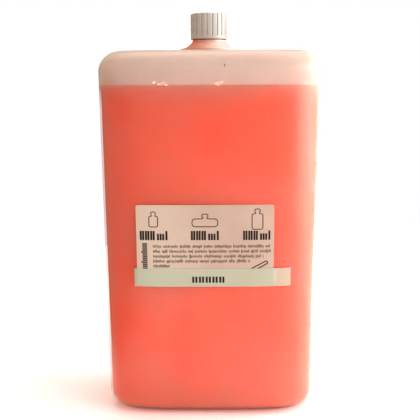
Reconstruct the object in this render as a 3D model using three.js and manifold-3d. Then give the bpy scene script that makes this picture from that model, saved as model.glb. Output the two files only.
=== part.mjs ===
// Hand soap refill pack: a flat blow-moulded bottle of liquid soap, a ribbed screw cap with its
// liner, and two stickers on the front wall.
// Millimetres, +Z up, front wall towards -Y, origin in the middle of the base at standing height.
import * as THREE from "three";
import { mergeVertices } from "three/addons/utils/BufferGeometryUtils.js";
import Module from "manifold-3d";

const wasm = await Module();
wasm.setup();

// Bottle body. The plan is a superellipse: power 2 is an ellipse, and a larger power is squarer.
const bodyWidth = 110;
const bodyDepth = 60;
const bodyHeight = 185;
const planPower = 4.4;
const bodyTaper = 0.8; // each side is this much further in at the base than at the shoulder
const wall = 0.9;
const baseEdgeRadius = 8.8;
const shoulderEdgeRadius = 10.4;
const standingRim = 5; // width of the flat ring that the bottle stands on
const pushUpDepth = 2.5; // how far the middle of the base is dished in
const pushUpRun = 6; // width of the slope from the standing ring up to the dished middle

// Neck. The finish is the part that the cap screws on to, measured at the root of its thread.
const finishDiameter = 15;
const finishHeight = 10.4;
const boreDiameter = 11.2;
const collarStep = 1; // how far the collar under the cap stands out beyond the finish
const collarHeight = 0.8;
const neckRise = 5.4; // from the shoulder to the top of the collar
const footRise = 1.2; // height of the round step at the neck's foot
const flareRun = 6.2; // from the collar out to the edge of the step
const flareCone = 3; // from the collar out to where the flare's cone would meet the step
const lipRadius = 0.4;

// Screw cap and liner
const threadRoom = 1.05; // space for the thread between the finish and the inside of the skirt
const capSkirt = 0.8; // skirt thickness over the ribs
const capRoof = 1.4;
const capEdgeRadius = 0.8;
const capBand = 1.5; // plain band below the ribs
const grooveCount = 22;
const grooveRadius = 0.55;
const grooveDepth = 0.4;
const closedTurn = 1.7; // degrees from the right-hand side to the first groove of the closed cap
const linerThickness = 1;
const linerClearance = 0.2; // around the liner, inside the skirt
const seatGap = 0.1; // between the lip, the liner and the roof of the closed cap
const skirtGap = 0.4; // between the collar and the skirt of the closed cap

// Liquid soap
const headspace = 16.6; // from the soap's surface up to the shoulder
const soapGap = 0.3; // between the soap and the inside of the wall

// Stickers. Each is placed by its middle, across from the bottle's axis and up from the base.
const labelWidth = 67.8;
const labelHeight = 40;
const labelX = -2.3;
const labelZ = 90.9;
const labelCorner = 1.2;
const stripWidth = 77.9;
const stripHeight = 9.3;
const stripX = 1.25;
const stripZ = 74.2;
const stripCorner = 0.3;
const stickerThickness = 0.12;
const stickerGap = 0.1; // under each sticker

// Facets
const planPoints = 64;
const turnPoints = 44;
const curveSteps = 3;

// Places worked out from the sizes above
const finishRadius = finishDiameter / 2;
const boreRadius = boreDiameter / 2;
const collarRadius = finishRadius + collarStep;
const skirtRadius = finishRadius + threadRoom;
const capRadius = skirtRadius + capSkirt;
const collarTop = bodyHeight + neckRise;
const lipTop = collarTop + finishHeight;
const linerBottom = lipTop + seatGap;
const roofBottom = linerBottom + linerThickness + seatGap;
const capTop = roofBottom + capRoof;
const capBottom = collarTop + skirtGap;
const soapTop = bodyHeight - headspace;
const flareFoot = collarRadius + flareRun;
const footTop = bodyHeight + footRise;

// A closed geometry as a solid that can be joined and cut.
function solidOf(geometry) {
  geometry.deleteAttribute("normal");
  geometry.deleteAttribute("uv");
  const merged = mergeVertices(geometry);
  return new wasm.Manifold(
    new wasm.Mesh({
      numProp: 3,
      vertProperties: merged.attributes.position.array,
      triVerts: new Uint32Array(merged.index.array),
    }),
  );
}

// A solid as the named mesh of one piece.
function piece(name, solid, material) {
  const { vertProperties, triVerts } = solid.getMesh();
  const geometry = new THREE.BufferGeometry();
  geometry.setAttribute("position", new THREE.BufferAttribute(vertProperties, 3));
  geometry.setIndex(new THREE.BufferAttribute(triVerts, 1));
  geometry.computeVertexNormals();
  const mesh = new THREE.Mesh(geometry, material);
  mesh.name = name;
  return mesh;
}

// One point of the plan outline, taken in by an inset from its widest size.
function planPoint(turn, inset) {
  const along = (value) => Math.sign(value) * Math.abs(value) ** (2 / planPower);
  const x = (bodyWidth / 2 - inset) * along(Math.cos(turn));
  const y = (bodyDepth / 2 - inset) * along(Math.sin(turn));
  return [x, y];
}

// A solid skinned over a stack of plan outlines, one for each (inset, height) of a profile that runs
// from the middle of the base, round the outside, to the middle of the top.
function loft(profile) {
  const positions = [];
  const triangles = [];
  for (const { x: inset, y: z } of profile) {
    for (let i = 0; i < planPoints; i++) {
      const [x, y] = planPoint((2 * Math.PI * i) / planPoints, inset);
      positions.push(x, y, z);
    }
  }
  const bottomMiddle = profile.length * planPoints;
  const topMiddle = bottomMiddle + 1;
  const lastRing = bottomMiddle - planPoints;
  positions.push(0, 0, profile[0].y, 0, 0, profile.at(-1).y);
  for (let i = 0; i < planPoints; i++) {
    const next = (i + 1) % planPoints;
    triangles.push(bottomMiddle, next, i);
    triangles.push(topMiddle, lastRing + i, lastRing + next);
    for (let ring = 0; ring < lastRing; ring += planPoints) {
      const above = ring + planPoints;
      triangles.push(ring + i, ring + next, above + i);
      triangles.push(ring + next, above + next, above + i);
    }
  }
  const geometry = new THREE.BufferGeometry();
  geometry.setAttribute("position", new THREE.Float32BufferAttribute(positions, 3));
  geometry.setIndex(triangles);
  return solidOf(geometry);
}

// A solid turned about the Z axis from a path of (radius, height) that starts and ends on the axis.
function turned(path, start = 0) {
  const geometry = new THREE.LatheGeometry(path.getPoints(curveSteps), turnPoints, start);
  return solidOf(geometry.rotateX(Math.PI / 2));
}

// How far the tapered side wall is set in at a height.
function sideInset(z) {
  const tall = bodyHeight - shoulderEdgeRadius - baseEdgeRadius;
  return (bodyTaper * (bodyHeight - shoulderEdgeRadius - z)) / tall;
}

// The profile of the body's outside, moved in by an offset, from the dished base up to the side wall.
function baseProfile(offset) {
  const rimOuter = baseEdgeRadius + bodyTaper;
  const rimInner = rimOuter + standingRim;
  const dishEdge = rimInner + pushUpRun;
  const half = (rimInner + dishEdge) / 2;
  const dishTop = pushUpDepth + offset;
  const path = new THREE.Path();
  path.moveTo(dishEdge, dishTop);
  path.bezierCurveTo(half, dishTop, half, offset, rimInner, offset);
  path.lineTo(rimOuter, offset);
  path.absarc(rimOuter, baseEdgeRadius, baseEdgeRadius - offset, -Math.PI / 2, -Math.PI, true);
  return path;
}

// The body's outside moved in by an offset, closed over at the shoulder.
function bodyLoft(offset) {
  const path = baseProfile(offset);
  const edgeHeight = bodyHeight - shoulderEdgeRadius;
  path.lineTo(offset, edgeHeight);
  path.absarc(shoulderEdgeRadius, edgeHeight, shoulderEdgeRadius - offset, Math.PI, Math.PI / 2, true);
  return loft(path.getPoints(curveSteps));
}

// The neck's outside: a low round step, a cone that rises out of it to the collar, then the finish.
function neckOutside() {
  const root = bodyHeight - wall / 2;
  const collarFoot = collarTop - collarHeight;
  const path = new THREE.Path();
  path.moveTo(0, root);
  path.lineTo(flareFoot, root);
  path.lineTo(flareFoot, footTop);
  path.quadraticCurveTo(collarRadius + flareCone, footTop, collarRadius, collarFoot);
  path.lineTo(collarRadius, collarTop);
  path.lineTo(finishRadius, collarTop);
  path.lineTo(finishRadius, lipTop - lipRadius);
  path.absarc(finishRadius - lipRadius, lipTop - lipRadius, lipRadius, 0, Math.PI / 2, false);
  path.lineTo(0, lipTop);
  return turned(path);
}

// The way through the neck: the bore, widening below the collar into the space under the step.
function neckInside() {
  const root = bodyHeight - 2 * wall;
  const ceiling = footTop - wall;
  const boreFoot = collarTop - collarHeight;
  const funnel = flareFoot - wall;
  const past = lipTop + wall;
  const path = new THREE.Path();
  path.moveTo(0, root);
  path.lineTo(funnel, root);
  path.lineTo(funnel, ceiling);
  path.quadraticCurveTo((funnel + boreRadius) / 2, ceiling, boreRadius, boreFoot);
  path.lineTo(boreRadius, past);
  path.lineTo(0, past);
  return turned(path);
}

function bottle() {
  const outside = bodyLoft(0).add(neckOutside());
  const inside = bodyLoft(wall).add(neckInside());
  return outside.subtract(inside);
}

// The soap fills the bottle's inside up to a level surface.
function soap() {
  const offset = wall + soapGap;
  const path = baseProfile(offset);
  path.lineTo(offset + sideInset(soapTop), soapTop);
  return loft(path.getPoints(curveSteps));
}

function capLiner() {
  const disc = new THREE.CylinderGeometry(
    skirtRadius - linerClearance, skirtRadius - linerClearance, linerThickness, turnPoints,
  );
  disc.rotateX(Math.PI / 2).translate(0, 0, linerBottom + linerThickness / 2);
  return solidOf(disc);
}

// One of the grooves between the cap's ribs, cut from the plain band out through the top edge.
function capGroove(turn) {
  const foot = capBottom + capBand;
  const length = capTop + capRoof - foot;
  const middle = capRadius - grooveDepth + grooveRadius;
  const groove = new THREE.CylinderGeometry(grooveRadius, grooveRadius, length, 8);
  groove.rotateX(Math.PI / 2).translate(middle, 0, foot + length / 2).rotateZ(turn);
  return solidOf(groove);
}

function screwCap() {
  const path = new THREE.Path();
  path.moveTo(0, roofBottom);
  path.lineTo(skirtRadius, roofBottom);
  path.lineTo(skirtRadius, capBottom);
  path.lineTo(capRadius, capBottom);
  path.lineTo(capRadius, capTop - capEdgeRadius);
  path.absarc(capRadius - capEdgeRadius, capTop - capEdgeRadius, capEdgeRadius, 0, Math.PI / 2, false);
  path.lineTo(0, capTop);
  const start = THREE.MathUtils.degToRad(closedTurn);
  let cap = turned(path, start);
  for (let i = 0; i < grooveCount; i++) {
    cap = cap.subtract(capGroove(start + (2 * Math.PI * i) / grooveCount));
  }
  return cap;
}

// A rectangle with round corners, about its own middle.
function roundedRectangle(width, height, corner) {
  const right = width / 2;
  const top = height / 2;
  const shape = new THREE.Shape();
  shape.moveTo(corner - right, -top);
  shape.lineTo(right - corner, -top);
  shape.absarc(right - corner, corner - top, corner, -Math.PI / 2, 0, false);
  shape.lineTo(right, top - corner);
  shape.absarc(right - corner, top - corner, corner, 0, Math.PI / 2, false);
  shape.lineTo(corner - right, top);
  shape.absarc(corner - right, top - corner, corner, Math.PI / 2, Math.PI, false);
  shape.lineTo(-right, corner - top);
  shape.absarc(corner - right, corner - top, corner, Math.PI, 1.5 * Math.PI, false);
  return shape;
}

// A sticker lies round the front wall: the part of a thin layer over the wall that is inside its outline.
function sticker(outline, x, z, lift) {
  const layer = bodyLoft(-lift - stickerThickness).subtract(bodyLoft(-lift));
  const cutter = new THREE.ExtrudeGeometry(outline, {
    depth: bodyDepth,
    bevelEnabled: false,
    curveSegments: curveSteps,
  });
  cutter.rotateX(Math.PI / 2).translate(x, 0, z);
  return layer.intersect(solidOf(cutter));
}

function productLabel() {
  const outline = roundedRectangle(labelWidth, labelHeight, labelCorner);
  return sticker(outline, labelX, labelZ, stickerGap);
}

// The strip is stuck over the lower edge of the label, so it lies one sticker further out.
function codeStrip() {
  const outline = roundedRectangle(stripWidth, stripHeight, stripCorner);
  return sticker(outline, stripX, stripZ, 2 * stickerGap + stickerThickness);
}

// Finishes
const milkyPlastic = new THREE.MeshStandardMaterial({
  color: "#ead9cc", roughness: 0.38, metalness: 0, transparent: true, opacity: 0.45,
});
const coralSoap = new THREE.MeshStandardMaterial({ color: "#f4624a", roughness: 0.3, metalness: 0 });
const whitePlastic = new THREE.MeshStandardMaterial({ color: "#ebe7df", roughness: 0.45, metalness: 0 });
const foam = new THREE.MeshStandardMaterial({ color: "#f5f4f0", roughness: 0.85, metalness: 0 });
const labelFilm = new THREE.MeshStandardMaterial({ color: "#e0bca4", roughness: 0.4, metalness: 0 });
const stripPaper = new THREE.MeshStandardMaterial({ color: "#d2cbb0", roughness: 0.6, metalness: 0 });

const pack = new THREE.Group();
pack.add(
  piece("bottle", bottle(), milkyPlastic),
  piece("soap_fill", soap(), coralSoap),
  piece("cap_liner", capLiner(), foam),
  piece("screw_cap", screwCap(), whitePlastic),
  piece("product_label", productLabel(), labelFilm),
  piece("code_strip", codeStrip(), stripPaper),
);

export default pack;
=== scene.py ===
# %% [markdown]
# A refill pack of liquid soap: a flat bottle blown from milky plastic, filled with coral soap almost
# to its shoulder, closed by a small ribbed screw cap, with a film label and a paper strip on its front.
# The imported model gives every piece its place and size. This lesson gives each piece its fine form and
# its finish, one after another, and then lights the pack as in a small studio.

import math

import bmesh
import bpy
import numpy as np
from mathutils import Matrix, Vector


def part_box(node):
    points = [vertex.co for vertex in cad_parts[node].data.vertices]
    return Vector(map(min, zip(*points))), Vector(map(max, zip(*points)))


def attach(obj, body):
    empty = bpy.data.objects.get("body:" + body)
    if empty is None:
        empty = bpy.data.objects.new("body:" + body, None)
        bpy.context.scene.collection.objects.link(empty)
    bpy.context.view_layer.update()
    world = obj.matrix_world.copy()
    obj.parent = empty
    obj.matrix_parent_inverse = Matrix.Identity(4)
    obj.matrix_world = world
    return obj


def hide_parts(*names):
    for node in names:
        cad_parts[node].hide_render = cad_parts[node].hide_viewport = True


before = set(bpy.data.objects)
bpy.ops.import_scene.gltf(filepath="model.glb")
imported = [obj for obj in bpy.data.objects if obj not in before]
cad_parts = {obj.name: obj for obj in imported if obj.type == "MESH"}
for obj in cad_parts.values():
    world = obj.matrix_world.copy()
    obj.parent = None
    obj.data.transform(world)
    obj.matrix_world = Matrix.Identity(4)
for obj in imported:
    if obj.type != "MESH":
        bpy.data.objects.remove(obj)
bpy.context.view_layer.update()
scene = bpy.context.scene
print("packed pieces:", sorted(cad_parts))

# %% [markdown]
# Shapes are worked out in millimetres, which suit a pack of this size, and turned into metres when a
# mesh is made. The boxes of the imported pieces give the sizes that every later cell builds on, so the
# looks stay on the model without any fitting.

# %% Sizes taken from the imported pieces
MM = 0.001


def box_mm(node):
    """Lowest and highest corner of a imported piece, in millimetres."""
    low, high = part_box(node)
    return np.array(low) / MM, np.array(high) / MM


half_width, half_depth, lip_top = box_mm("bottle")[1]
soap_top = box_mm("soap_fill")[1][2]
cap_low, cap_high = box_mm("screw_cap")
liner_low, liner_high = box_mm("cap_liner")
label_low, label_high = box_mm("product_label")
strip_low, strip_high = box_mm("code_strip")
print(f"bottle {2 * half_width:.1f} x {2 * half_depth:.1f} x {lip_top:.1f} mm, soap up to {soap_top:.1f} mm")

# %% [markdown]
# The camera stands in front of the pack, a little above the middle, and looks slightly down, as the
# photographer did. Its place and turn were found by laying the pack's known outline over the picture.
# A focal length in pixels becomes a lens in millimetres once the sensor's width is chosen.

# %% Camera
IMAGE_PIXELS = 420
FOCAL_PIXELS = 684.7
SENSOR_WIDTH = 36
CAMERA_PLACE = (4.32, -357.54, 169.41)
CAMERA_DOWN = 10.542
CAMERA_LEFT = 0.7125
CAMERA_ROLL = -0.3758


def turned_by(degrees, axis):
    return Matrix.Rotation(math.radians(degrees), 4, axis)


lens = bpy.data.cameras.new("camera")
lens.sensor_width = SENSOR_WIDTH
lens.lens = SENSOR_WIDTH * FOCAL_PIXELS / IMAGE_PIXELS
camera = bpy.data.objects.new("camera", lens)
scene.collection.objects.link(camera)
aim = turned_by(CAMERA_LEFT, "Z") @ turned_by(90 - CAMERA_DOWN, "X") @ turned_by(CAMERA_ROLL, "Z")
camera.matrix_world = Matrix.Translation(Vector(CAMERA_PLACE) * MM) @ aim
scene.camera = camera
print(f"camera lens {lens.lens:.1f} mm")

# %% [markdown]
# Every piece below is a grid of points: rows that follow a profile, and columns that go round or across.
# A grid is easy to reason about, gives clean quads for smooth shading, and closes without stray faces.
# These helpers make the faces of a grid, close its open ends and hand the mesh to its body.

# %% Grid helpers


def grid_faces(rows, columns, around):
    """Quads between neighbouring rows. A grid that goes around joins its last column to its first."""
    last = columns if around else columns - 1
    row, column = np.meshgrid(np.arange(rows - 1), np.arange(last), indexing="ij")
    after = (column + 1) % columns
    corners = [
        row * columns + column,
        row * columns + after,
        (row + 1) * columns + after,
        (row + 1) * columns + column,
    ]
    return np.stack(corners, -1).reshape(-1, 4).tolist()


def flat_end(first, columns, upward):
    """Faces that close a ring which is drawn out along X, by joining each point to the one across it."""
    half = columns // 2
    faces = [[first, first + 1, first + columns - 1]]
    for j in range(1, half - 1):
        faces.append([first + j, first + j + 1, first + columns - j - 1, first + columns - j])
    faces.append([first + half - 1, first + half, first + half + 1])
    return faces if upward else [face[::-1] for face in faces]


def make_piece(name, points, faces, materials, body, stands_for=None, sharp_from=40):
    """A smooth-shaded mesh in the pack's frame that rides on a body."""
    mesh = bpy.data.meshes.new(name)
    mesh.from_pydata((np.asarray(points) * MM).tolist(), [], faces)
    for material in materials:
        mesh.materials.append(material)
    mesh.shade_smooth()
    mesh.set_sharp_from_angle(angle=math.radians(sharp_from))
    obj = bpy.data.objects.new(name, mesh)
    scene.collection.objects.link(obj)
    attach(obj, body)
    if stands_for:
        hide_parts(stands_for)
    print(f"{name}: {len(mesh.vertices)} points, {len(mesh.polygons)} faces")
    return obj


print(f"a closed grid of 3 rings of 8 points has {len(grid_faces(3, 8, True))} faces")

# %% [markdown]
# A material is a small graph of nodes. A few helpers keep the graphs short to write. The first adds a node
# and fills its sockets, where a value that is itself a socket becomes a link, and the others add the nodes
# that come up most. Object coordinates are used throughout, because they stay with a piece as it moves.

# %% Node helpers


def add_node(tree, kind, inputs=(), **settings):
    """Adds a node, sets its properties, and fills its inputs with values or links."""
    node = tree.nodes.new(kind)
    for name, value in settings.items():
        setattr(node, name, value)
    for key, value in dict(inputs).items():
        if isinstance(value, bpy.types.NodeSocket):
            tree.links.new(value, node.inputs[key])
        else:
            node.inputs[key].default_value = value
    return node


def math_node(tree, operation, first, second=0.0, clamp=False):
    """The result of one sum on two values."""
    node = add_node(tree, "ShaderNodeMath", {0: first, 1: second}, operation=operation, use_clamp=clamp)
    return node.outputs[0]


def ramp_between(tree, value, low, high, out_low=0.0, out_high=1.0):
    """A soft step: out_low where the value is below low, out_high where it is above high."""
    inputs = {"Value": value, "From Min": low, "From Max": high, "To Min": out_low, "To Max": out_high}
    return add_node(tree, "ShaderNodeMapRange", inputs, interpolation_type="SMOOTHSTEP").outputs[0]


def mix_value(tree, share, first, second):
    """A value between two others. A Mix node has its value inputs at 2 and 3."""
    return add_node(tree, "ShaderNodeMix", {0: share, 2: first, 3: second}).outputs[0]


def mix_colour(tree, share, first, second):
    """A colour between two others. A Mix node has its colour inputs at 6 and 7, and its output at 2."""
    inputs = {0: share, 6: first, 7: second}
    return add_node(tree, "ShaderNodeMix", inputs, data_type="RGBA").outputs[2]


def noise(tree, place, scale, detail=2.0, distortion=0.0):
    """A soft random value that changes from place to place."""
    inputs = {"Vector": place, "Scale": scale, "Detail": detail, "Distortion": distortion}
    return add_node(tree, "ShaderNodeTexNoise", inputs).outputs[0]


def scale_for(tree, size):
    """The scale that gives a texture marks of a size in metres."""
    return math_node(tree, "DIVIDE", 1.0, size)


def object_place(tree):
    """Where a point lies in the pack's own frame, in metres."""
    return tree.nodes.new("ShaderNodeTexCoord").outputs["Object"]


def place_along(tree, axis):
    """The place of a point along one axis of the pack's own frame."""
    return add_node(tree, "ShaderNodeSeparateXYZ", {0: object_place(tree)}).outputs[axis]


print("node helpers ready")

# %% [markdown]
# A material starts with its Principled shader. Values that are the same all over the piece are set on the
# shader's own sockets, and only what changes over the surface is linked. A node group is a small graph with
# named inputs and outputs that several materials can share, each with its own values.

# %% Material and group helpers


def new_material(name, **values):
    """A material with its Principled shader, whose plain values are set on the shader's own sockets."""
    material = bpy.data.materials.new(name)
    material.use_nodes = True
    shader = material.node_tree.nodes["Principled BSDF"]
    for socket, value in values.items():
        shader.inputs[socket.replace("_", " ")].default_value = value
    return material, material.node_tree, shader


def new_group(name, inputs, outputs):
    """An empty node group with named value inputs and named outputs."""
    tree = bpy.data.node_groups.new(name, "ShaderNodeTree")
    for label, value in inputs.items():
        socket = tree.interface.new_socket(label, in_out="INPUT", socket_type="NodeSocketFloat")
        socket.default_value = value
    for label in outputs:
        tree.interface.new_socket(label, in_out="OUTPUT", socket_type="NodeSocketFloat")
    start = tree.nodes.new("NodeGroupInput")
    end = tree.nodes.new("NodeGroupOutput")
    return tree, start.outputs, end.inputs


def place_group(tree, group, **values):
    """Puts a group into a material and gives its outputs."""
    node = tree.nodes.new("ShaderNodeGroup")
    node.node_tree = group
    for label, value in values.items():
        node.inputs[label.replace("_", " ")].default_value = value
    return node.outputs


def feed(shader, **values):
    """Links values that change over the surface to sockets of the shader."""
    for socket, value in values.items():
        shader.id_data.links.new(value, shader.inputs[socket.replace("_", " ")])


def set_bump(tree, shader, height, strength, distance=0.0001):
    """Lets a height raise and sink the shading without moving the surface."""
    bump = add_node(tree, "ShaderNodeBump", {"Height": height, "Strength": strength, "Distance": distance})
    feed(shader, Normal=bump.outputs[0])


print("material helpers ready")

# %% [markdown]
# Three effects are shared, so each is a node group. The first is the skin that a mould leaves on plastic:
# a fine grain with a slow waviness. The second is handling: faint rubbed patches that make a gloss uneven.
# Each material that uses them sets the size of the marks.

# %% Groups for skin and handling
WAVE_WEIGHT = 4.0
RUBBED_SPAN = (0.5, 0.72)


def moulded_skin_group():
    inputs = {"Grain Size": 0.0006, "Wave Size": 0.02}
    tree, given, out = new_group("moulded_skin", inputs, ["Height", "Uneven"])
    place = object_place(tree)
    grain = noise(tree, place, scale_for(tree, given["Grain Size"]), 3.0)
    wave = noise(tree, place, scale_for(tree, given["Wave Size"]), 1.0)
    coarse = math_node(tree, "MULTIPLY", wave, WAVE_WEIGHT)
    tree.links.new(math_node(tree, "ADD", grain, coarse), out["Height"])
    tree.links.new(wave, out["Uneven"])
    return tree


def handling_group():
    tree, given, out = new_group("handling", {"Patch Size": 0.012}, ["Rubbed"])
    patch = noise(tree, object_place(tree), scale_for(tree, given["Patch Size"]), 4.0)
    tree.links.new(ramp_between(tree, patch, *RUBBED_SPAN), out["Rubbed"])
    return tree


moulded_skin = moulded_skin_group()
handling = handling_group()
print("groups:", [group.name for group in (moulded_skin, handling)])

# %% [markdown]
# The third group tells how wet the bottle's wall is at a height, since soap touches it up to the soap line
# and clings to it above as a thinning film, most of which has drained from the left side. It also gives two
# masks of painted light and shade on the wet wall: painted shade along the left side and round the lower
# edge, where the wall is made clearer and darker red, and painted light high on the right side, where the
# wall is made more milky and paler. Its sizes are in metres, as the shader sees them.

# %% Group for the soap line
RAGGED_SCALE = 160.0
RAGGED_HEIGHT = 0.0007
DRY_SPAN = (-0.0018, 0.0004)
FROTH_REACH = 0.004
FROTH_SHARE = 0.62
DRAINED_SIDE = (-0.054, -0.034)
FILM_REACH = (0.0025, 0.011)
# The neck's mask reaches down over the step at its foot, so the step takes the neck's painted shade and
# light.
NECK_SPAN = (0.1848, 0.1858)
# Painted shade lies along the left side and round the lower edge of the wet wall, painted light high on the
# right.
PAINTED_SHADE_SIDE = (-0.0535, -0.0495)
PAINTED_SHADE_FOOT = (0.002, 0.0085)
PAINTED_LIGHT_SIDE = (0.046, 0.0515)
PAINTED_LIGHT_FROM = (0.085, 0.14)


def soap_line_group():
    masks = ["Dry", "Film", "Neck", "Painted_Shade", "Painted_Light"]
    tree, given, out = new_group("soap_line", {"Line": soap_top * MM}, masks)
    across, height = place_along(tree, "X"), place_along(tree, "Z")
    ragged = math_node(tree, "SUBTRACT", noise(tree, object_place(tree), RAGGED_SCALE), 0.5)
    wobble = math_node(tree, "MULTIPLY", ragged, RAGGED_HEIGHT)
    above = math_node(tree, "SUBTRACT", math_node(tree, "ADD", height, wobble), given["Line"])
    below = math_node(tree, "MINIMUM", math_node(tree, "DIVIDE", above, FROTH_REACH), 0.0)
    froth = math_node(tree, "MULTIPLY", math_node(tree, "EXPONENT", below), FROTH_SHARE)
    dry = math_node(tree, "MAXIMUM", ramp_between(tree, above, *DRY_SPAN), froth)
    wet = math_node(tree, "SUBTRACT", 1.0, dry)
    film_reach = ramp_between(tree, across, *DRAINED_SIDE, *FILM_REACH)
    shade_side = ramp_between(tree, across, *PAINTED_SHADE_SIDE, 1.0, 0.0)
    shade_foot = ramp_between(tree, height, *PAINTED_SHADE_FOOT, 1.0, 0.0)
    painted_shade = math_node(tree, "MAXIMUM", shade_side, shade_foot)
    light_side = ramp_between(tree, across, *PAINTED_LIGHT_SIDE)
    painted_light = math_node(tree, "MULTIPLY", light_side, ramp_between(tree, height, *PAINTED_LIGHT_FROM))
    tree.links.new(dry, out["Dry"])
    tree.links.new(ramp_between(tree, above, 0.0, film_reach, 1.0, 0.0), out["Film"])
    tree.links.new(ramp_between(tree, height, *NECK_SPAN), out["Neck"])
    tree.links.new(math_node(tree, "MULTIPLY", painted_shade, wet), out["Painted_Shade"])
    tree.links.new(math_node(tree, "MULTIPLY", painted_light, wet), out["Painted_Light"])
    return tree


soap_line = soap_line_group()
print("masks:", [socket.name for socket in soap_line.interface.items_tree if socket.in_out == "OUTPUT"])

# %% [markdown]
# The plan of the bottle is a superellipse: straighter than an ellipse along the walls, with soft corners.
# A quarter of it is sampled at even steps along its length and mirrored, so that the ring closes exactly
# and each point has a partner across. A few extra points lie close to the middle of each narrow side,
# where the two halves of the mould meet and leave a fine raised seam.

# %% Plan outline of the bottle
PLAN_POWER = 4.4
QUARTER_STEPS = 52
FINE_STEPS = 400
SEAM_WIDTH = 0.22
SEAM_HEIGHT = 0.14
SEAM_PLACES = np.array([0.5, 1.0, 1.6, 2.4])


def quarter_outline():
    """Shares of half width and half depth along a quarter of the plan, from a narrow side to the back."""
    corner = 2 ** (-1 / PLAN_POWER)
    rise = np.linspace(0, corner, FINE_STEPS)
    back = np.linspace(corner, 0, FINE_STEPS)[1:]
    side = np.stack([(1 - rise**PLAN_POWER) ** (1 / PLAN_POWER), rise], 1)
    broad = np.stack([back, (1 - back**PLAN_POWER) ** (1 / PLAN_POWER)], 1)
    dense = np.concatenate([side, broad])
    steps = np.linalg.norm(np.diff(dense * [half_width, half_depth], axis=0), axis=1)
    run = np.concatenate([[0], np.cumsum(steps)])
    even = np.linspace(0, run[-1], QUARTER_STEPS + 1)
    wanted = np.sort(np.concatenate([even, SEAM_WIDTH * SEAM_PLACES]))
    return np.stack([np.interp(wanted, run, dense[:, 0]), np.interp(wanted, run, dense[:, 1])], 1)


quarter = quarter_outline()
half_plan = np.concatenate([quarter, (quarter[:-1] * [-1, 1])[::-1]])
plan = np.concatenate([half_plan, (half_plan[1:-1] * [1, -1])[::-1]])
columns = len(plan)
seam = SEAM_HEIGHT * np.exp(-((plan[:, 1] * half_depth / SEAM_WIDTH) ** 2))


def plan_ring(inset, z):
    """One ring of the bottle, taken in from its widest outline."""
    x = (half_width - inset) * plan[:, 0]
    y = (half_depth - inset) * plan[:, 1]
    return np.stack([x, y, np.full(columns, z)], 1)


print(f"plan ring of {columns} points")

# %% [markdown]
# Profiles are drawn as paths of points in a plane. A few helpers cover all of them: an arc, a straight line,
# a soft step, a bend, and a way to join paths end to end. Arcs are sampled closely enough to read as round.

# %% Path helpers


def arc(centre, radius, start, end, steps):
    """Points of an arc, with angles in degrees."""
    angles = np.radians(np.linspace(start, end, steps))
    return np.stack([centre[0] + radius * np.cos(angles), centre[1] + radius * np.sin(angles)], 1)


def line(start, end, steps):
    """Points of a straight line."""
    return np.linspace(start, end, steps)


def soft_step(start, end, steps):
    """A path that leaves and arrives level."""
    share = np.linspace(0, 1, steps)
    eased = share**2 * (3 - 2 * share)
    return np.stack([start[0] + share * (end[0] - start[0]), start[1] + eased * (end[1] - start[1])], 1)


def bend(start, knee, end, steps):
    """A curve that leaves towards its knee and arrives from it."""
    share = np.linspace(0, 1, steps)[:, None]
    start, knee, end = np.array(start), np.array(knee), np.array(end)
    return (1 - share) ** 2 * start + 2 * share * (1 - share) * knee + share**2 * end


def joined(*paths):
    """Paths in a row, without the points that they share."""
    return np.concatenate([paths[0]] + [path[1:] for path in paths[1:]])


print(f"quarter circle of {len(arc((0, 0), 1, 0, 90, 7))} points")

# %% [markdown]
# The bottle's section is drawn once as a path of insets and heights: dished base, standing rim, rounded
# edge, slightly tapered wall and rounded shoulder. The same path moved in by the wall gives the inside,
# and a little further in it gives the soap.

# %% Section of the body
WALL = 0.9
TAPER = 0.8
BASE_EDGE = 8.8
SHOULDER_EDGE = 10.4
SHOULDER = 185.0
STANDING_RIM = 5.0
DISH_DEPTH = 2.5
DISH_RUN = 6.0


def side_inset(z):
    """How far the tapered wall is set in at a height."""
    top = SHOULDER - SHOULDER_EDGE
    return TAPER * (top - z) / (top - BASE_EDGE)


def base_path(offset):
    """From the edge of the dish, over the standing rim and round the lower edge, moved in by an offset."""
    rim_outer = BASE_EDGE + TAPER
    rim_inner = rim_outer + STANDING_RIM
    dish_edge = rim_inner + DISH_RUN
    return joined(
        soft_step((dish_edge, DISH_DEPTH + offset), (rim_inner, offset), 9),
        line((rim_inner, offset), (rim_outer, offset), 4),
        arc((rim_outer, BASE_EDGE), BASE_EDGE - offset, 270, 180, 12),
    )


def wall_path(offset, top, steps):
    """Straight up the tapered wall from the lower edge."""
    return line((TAPER + offset, BASE_EDGE), (offset + side_inset(top), top), steps)


def shoulder_path(offset):
    """Round the upper edge on to the level shoulder."""
    centre = (SHOULDER_EDGE, SHOULDER - SHOULDER_EDGE)
    return arc(centre, SHOULDER_EDGE - offset, 180, 90, 14)


print(f"wall set in {side_inset(soap_top):.2f} mm at the soap line")

# %% [markdown]
# A blown bottle starts as a hot tube that the mould pinches shut below, so a weld bead runs along the middle
# of the dish. The rings that close the base shrink to a line just there, and the bead is a dip in their
# heights. The neck is turned: a low round step, a cone that rises out of it, a small collar, and the finish
# with its thread. Between shoulder and neck the rings change from the plan's outline to circles.

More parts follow.
